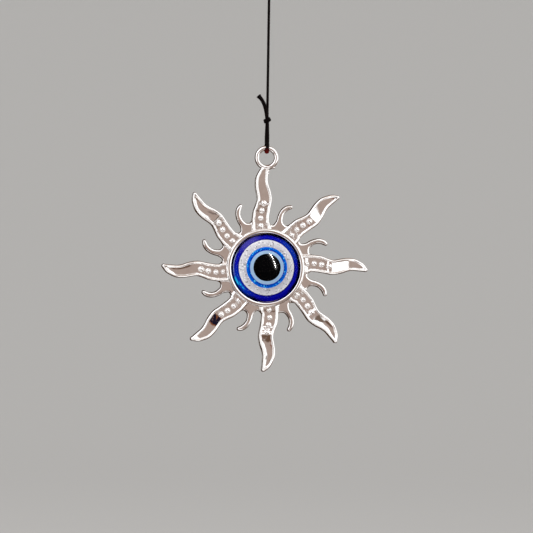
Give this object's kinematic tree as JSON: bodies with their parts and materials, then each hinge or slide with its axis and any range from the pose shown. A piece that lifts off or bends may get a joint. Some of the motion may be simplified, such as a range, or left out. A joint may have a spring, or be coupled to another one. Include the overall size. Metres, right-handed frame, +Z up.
{
  "type": "evil eye ornament",
  "caption": "Silver sun ornament with wavy beaded rays around a domed blue, white and black evil eye, hung by its cast ring on a thin knotted black cord with a top loop.",
  "frame": {"origin": "the lowest point of the hook that the cord's top loop rests on, at the middle of the loop's inner top", "axes": "+Z up along the hanging cord, +X to the right seen from the front, the eye faces -Y"},
  "size_m": [0.0608, 0.0071, 0.1269],
  "materials": {
    "plated_metal": "bright silver plating on a zinc die casting",
    "glue": "clear cured adhesive",
    "resin_cobalt": "translucent cobalt resin",
    "resin_white": "white resin with fine silver glitter",
    "resin_azure": "azure resin with fine glitter",
    "resin_pale": "pale blue resin",
    "resin_black": "black resin",
    "resin_clear": "clear domed top coat, polished",
    "cord": "waxed black twisted cord"
  },
  "bodies": {
    "top_loop": {"hang_loop": "cord", "upper_knot": "cord", "upper_tail": "cord"},
    "line": {"cord_line": "cord", "lower_knot": "cord", "cord_tail": "cord"},
    "bight": {"cord_bight": "cord"},
    "ornament": {"sun_casting": "plated_metal", "glue_film": "glue", "eye_body": "resin_cobalt", "eye_white_ring": "resin_white", "eye_azure_ring": "resin_azure", "eye_pale_ring": "resin_pale", "eye_pupil": "resin_black", "eye_clear_coat": "resin_clear"}
  },
  "joints": [
    {"name": "cord_twist", "type": "hinge", "parent": "top_loop", "child": "line", "pos_m": [0, 0, -0.015], "axis": [0, 0, 1], "continuous": true},
    {"name": "side_sway", "type": "hinge", "parent": "line", "child": "bight", "pos_m": [0, 0, -0.0525], "axis": [0, 1, 0], "range_deg": [-45, 45]},
    {"name": "ring_swing", "type": "hinge", "parent": "bight", "child": "ornament", "pos_m": [0, 0, -0.0606], "axis": [1, 0, 0], "range_deg": [-90, 90]}
  ]
}
